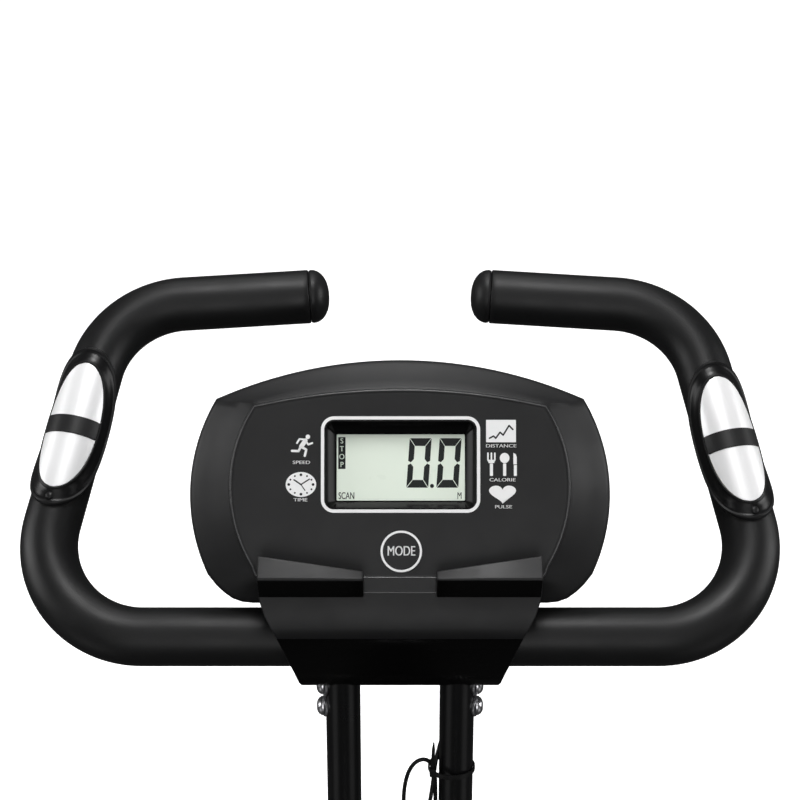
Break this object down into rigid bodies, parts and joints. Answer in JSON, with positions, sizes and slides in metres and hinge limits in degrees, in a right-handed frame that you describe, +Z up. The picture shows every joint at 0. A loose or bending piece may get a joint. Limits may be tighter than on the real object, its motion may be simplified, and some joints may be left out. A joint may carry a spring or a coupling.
{
  "type": "folding upright exercise bike",
  "caption": "Folding upright exercise bike with an X-shaped frame, a foam-covered loop handlebar with pulse sensors, a display console, belt-driven flywheel, pedals and a padded seat.",
  "frame": {"origin": "on the floor under the middle of the bike's footprint", "axes": "+Z up, +Y towards the front (the way the rider faces), +X to the rider's right"},
  "size_m": [0.5098, 0.8281, 1.1212],
  "materials": {
    "black_paint": "satin black powder coat",
    "black_plastic": "fine-textured black",
    "gloss_plastic": "gloss black",
    "foam": "matte closed-cell foam",
    "steel": "zinc plated",
    "cast_iron": "machined rim",
    "chrome": "polished",
    "rubber": "matte",
    "seat_vinyl": "grained vinyl",
    "lcd": "grey-green display",
    "board_green": "solder mask",
    "sensor_steel": "polished stainless"
  },
  "bodies": {
    "main_frame": {"main_frame": "black_paint", "front_stabilizer": "black_paint", "front_cap_left": "black_plastic", "front_cap_right": "black_plastic", "housing_left": "gloss_plastic", "housing_right": "gloss_plastic", "crank_bearing_left": "steel", "crank_bearing_right": "steel", "flywheel_axle": "steel", "drive_belt": "rubber", "pivot_bolt": "steel", "seat_sleeve": "black_plastic", "tension_cable": "rubber"},
    "rear_frame": {"rear_frame": "black_paint", "rear_stabilizer": "black_paint", "rear_cap_left": "black_plastic", "rear_cap_right": "black_plastic", "handlebar_post": "black_paint", "handlebar": "black_paint", "foam_grip_left": "foam", "foam_grip_right": "foam", "grip_end_cap_left": "black_plastic", "grip_end_cap_right": "black_plastic", "pulse_sensor_shell_left": "black_plastic", "pulse_sensor_shell_right": "black_plastic", "pulse_plate_upper_left": "sensor_steel", "pulse_plate_upper_right": "sensor_steel", "pulse_plate_lower_left": "sensor_steel", "pulse_plate_lower_right": "sensor_steel", "console_front_cover": "black_plastic", "console_back_cover": "gloss_plastic", "lcd_display": "lcd", "circuit_board": "board_green", "battery_pack": "steel", "tablet_holder": "black_plastic", "sensor_cable": "rubber", "cable_tie": "black_plastic"},
    "crank": {"crank_axle": "steel", "crank_pulley": "black_plastic", "crank_arm_left": "black_paint", "crank_arm_right": "black_paint", "pedal_spindle_left": "steel", "pedal_spindle_right": "steel"},
    "pedal_left": {"pedal_left": "black_plastic", "pedal_strap_left": "rubber"},
    "pedal_right": {"pedal_right": "black_plastic", "pedal_strap_right": "rubber"},
    "wheel_left": {"transport_wheel_left": "rubber"},
    "wheel_right": {"transport_wheel_right": "rubber"},
    "flywheel": {"flywheel": "cast_iron", "flywheel_pulley": "steel"},
    "magnet_arm": {"magnet_arm": "steel"},
    "seat": {"seat_post": "chrome", "seat_base": "black_plastic", "seat_cushion": "seat_vinyl"},
    "seat_pin": {"seat_pin": "black_plastic"},
    "fold_lock_pin": {"fold_lock_pin": "black_plastic"},
    "tension_knob": {"tension_knob": "black_plastic"},
    "mode_button": {"mode_button": "black_plastic"},
    "battery_door": {"battery_door": "black_plastic"}
  },
  "joints": [
    {"name": "fold", "type": "hinge", "parent": "main_frame", "child": "rear_frame", "pos_m": [0, -0.02065, 0.46569], "axis": [1, 0, 0], "range_deg": [0, 36]},
    {"name": "fold_lock_pull", "type": "slide", "parent": "rear_frame", "child": "fold_lock_pin", "axis": [1, 0, 0], "range_m": [0, 0.012], "stiffness_N_per_m": 800, "springref_m": -0.004},
    {"name": "seat_height", "type": "slide", "parent": "main_frame", "child": "seat", "axis": [0, -0.5878, 0.809], "range_m": [-0.03, 0.11]},
    {"name": "seat_pin_pull", "type": "slide", "parent": "main_frame", "child": "seat_pin", "axis": [0, -0.809, -0.5878], "range_m": [0, 0.012], "stiffness_N_per_m": 800, "springref_m": -0.004},
    {"name": "crank_turn", "type": "hinge", "parent": "main_frame", "child": "crank", "pos_m": [0, 0.121, 0.3335], "axis": [-1, 0, 0], "continuous": true},
    {"name": "flywheel_spin", "type": "hinge", "parent": "main_frame", "child": "flywheel", "pos_m": [0, 0.2, 0.47], "axis": [-1, 0, 0], "continuous": true},
    {"name": "pedal_left_turn", "type": "hinge", "parent": "crank", "child": "pedal_left", "pos_m": [-0.114, 0.03432, 0.40122], "axis": [1, 0, 0], "continuous": true},
    {"name": "pedal_right_turn", "type": "hinge", "parent": "crank", "child": "pedal_right", "pos_m": [0.114, 0.20768, 0.26578], "axis": [1, 0, 0], "continuous": true},
    {"name": "wheel_left_roll", "type": "hinge", "parent": "main_frame", "child": "wheel_left", "pos_m": [-0.182, 0.311, 0.032], "axis": [1, 0, 0], "continuous": true},
    {"name": "wheel_right_roll", "type": "hinge", "parent": "main_frame", "child": "wheel_right", "pos_m": [0.182, 0.311, 0.032], "axis": [1, 0, 0], "continuous": true},
    {"name": "tension_turn", "type": "hinge", "parent": "rear_frame", "child": "tension_knob", "pos_m": [0, 0.07852, 0.65942], "axis": [0, -0.9563, 0.2924], "range_deg": [0, 270]},
    {"name": "magnet_swing", "type": "hinge", "parent": "main_frame", "child": "magnet_arm", "pos_m": [0, 0.16029, 0.56828], "axis": [1, 0, 0], "range_deg": [0, 3.5]},
    {"name": "mode_press", "type": "slide", "parent": "rear_frame", "child": "mode_button", "axis": [0, 0.766, -0.6428], "range_m": [0, 0.0012], "stiffness_N_per_m": 400, "springref_m": -0.0008},
    {"name": "battery_door_lift", "type": "slide", "parent": "rear_frame", "child": "battery_door", "axis": [0, 0.766, -0.6428], "range_m": [0, 0.03]}
  ],
  "couplings": [
    {"joint": "flywheel_spin", "follows": "crank_turn", "ratio": 5.7143},
    {"joint": "magnet_swing", "follows": "tension_turn", "ratio": 0.012963}
  ]
}
